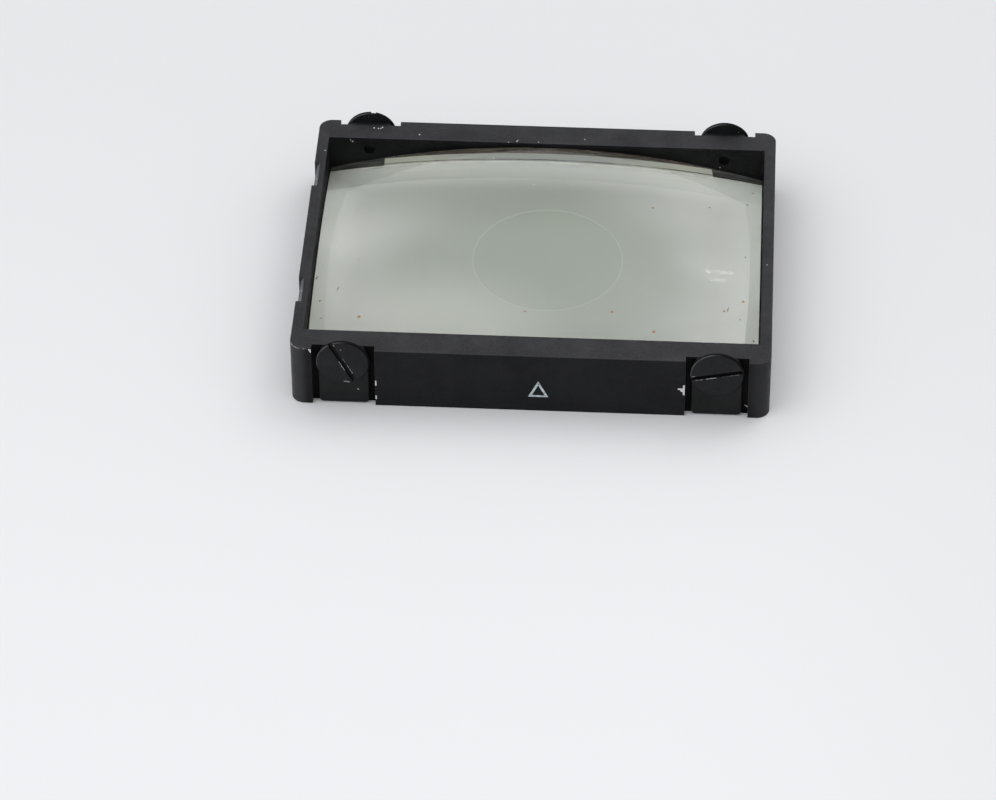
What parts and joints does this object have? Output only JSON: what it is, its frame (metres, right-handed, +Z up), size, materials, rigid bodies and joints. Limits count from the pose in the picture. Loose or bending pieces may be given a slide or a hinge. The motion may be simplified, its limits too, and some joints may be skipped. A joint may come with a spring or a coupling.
{
  "type": "camera focusing screen",
  "caption": "Rectangular black metal frame holding a domed condenser lens over a thin matte focusing plate, kept in by hooked side clips under large slotted screws.",
  "frame": {"origin": "middle of the frame's underside, the flat face that the screen lies on", "axes": "+X along the long side, towards the plain end (the catch notches are at -X); +Y from the long side with the index mark to the opposite long side; +Z up, towards the lens's domed face"},
  "size_m": [0.0396, 0.031, 0.0069],
  "materials": {
    "black_metal": "satin black anodised, lightly worn at the edges",
    "index_paint": "matt white paint filling",
    "optical_glass": "polished crown glass, finely ground edges",
    "dark_gasket": "matt dark film",
    "matte_screen": "finely ground, fresnel-ringed sheet",
    "black_steel": "satin black oxide",
    "pad_felt": "thin black felt",
    "screw_steel": "blackened steel, worn at the slot",
    "packing_black": "matt blackened card"
  },
  "bodies": {
    "carrier": {"frame": "black_metal", "index_mark": "index_paint", "condenser_lens": "optical_glass", "lens_gasket": "dark_gasket", "focusing_plate": "matte_screen", "packing_strip_front_left": "packing_black", "packing_strip_front_right": "packing_black", "packing_strip_rear_left": "packing_black", "packing_strip_rear_right": "packing_black"},
    "clip_front_left": {"clip_front_left": "black_steel", "clip_pad_front_left": "pad_felt"},
    "screw_front_left": {"screw_front_left": "screw_steel"},
    "clip_front_right": {"clip_front_right": "black_steel", "clip_pad_front_right": "pad_felt"},
    "screw_front_right": {"screw_front_right": "screw_steel"},
    "clip_rear_left": {"clip_rear_left": "black_steel", "clip_pad_rear_left": "pad_felt"},
    "screw_rear_left": {"screw_rear_left": "screw_steel"},
    "clip_rear_right": {"clip_rear_right": "black_steel", "clip_pad_rear_right": "pad_felt"},
    "screw_rear_right": {"screw_rear_right": "screw_steel"}
  },
  "joints": [
    {"name": "clip_front_left_swing", "type": "hinge", "parent": "carrier", "child": "clip_front_left", "pos_m": [-0.01535, -0.01472, 0.00462], "axis": [0, -1, 0], "range_deg": [-4, 4]},
    {"name": "screw_front_left_turn", "type": "hinge", "parent": "carrier", "child": "screw_front_left", "pos_m": [-0.01535, -0.01472, 0.00462], "axis": [0, -1, 0], "continuous": true},
    {"name": "clip_front_right_swing", "type": "hinge", "parent": "carrier", "child": "clip_front_right", "pos_m": [0.01535, -0.01472, 0.00462], "axis": [0, -1, 0], "range_deg": [-4, 4]},
    {"name": "screw_front_right_turn", "type": "hinge", "parent": "carrier", "child": "screw_front_right", "pos_m": [0.01535, -0.01472, 0.00462], "axis": [0, -1, 0], "continuous": true},
    {"name": "clip_rear_left_swing", "type": "hinge", "parent": "carrier", "child": "clip_rear_left", "pos_m": [-0.01535, 0.01472, 0.00462], "axis": [0, 1, 0], "range_deg": [-4, 4]},
    {"name": "screw_rear_left_turn", "type": "hinge", "parent": "carrier", "child": "screw_rear_left", "pos_m": [-0.01535, 0.01472, 0.00462], "axis": [0, 1, 0], "continuous": true},
    {"name": "clip_rear_right_swing", "type": "hinge", "parent": "carrier", "child": "clip_rear_right", "pos_m": [0.01535, 0.01472, 0.00462], "axis": [0, 1, 0], "range_deg": [-4, 4]},
    {"name": "screw_rear_right_turn", "type": "hinge", "parent": "carrier", "child": "screw_rear_right", "pos_m": [0.01535, 0.01472, 0.00462], "axis": [0, 1, 0], "continuous": true}
  ]
}
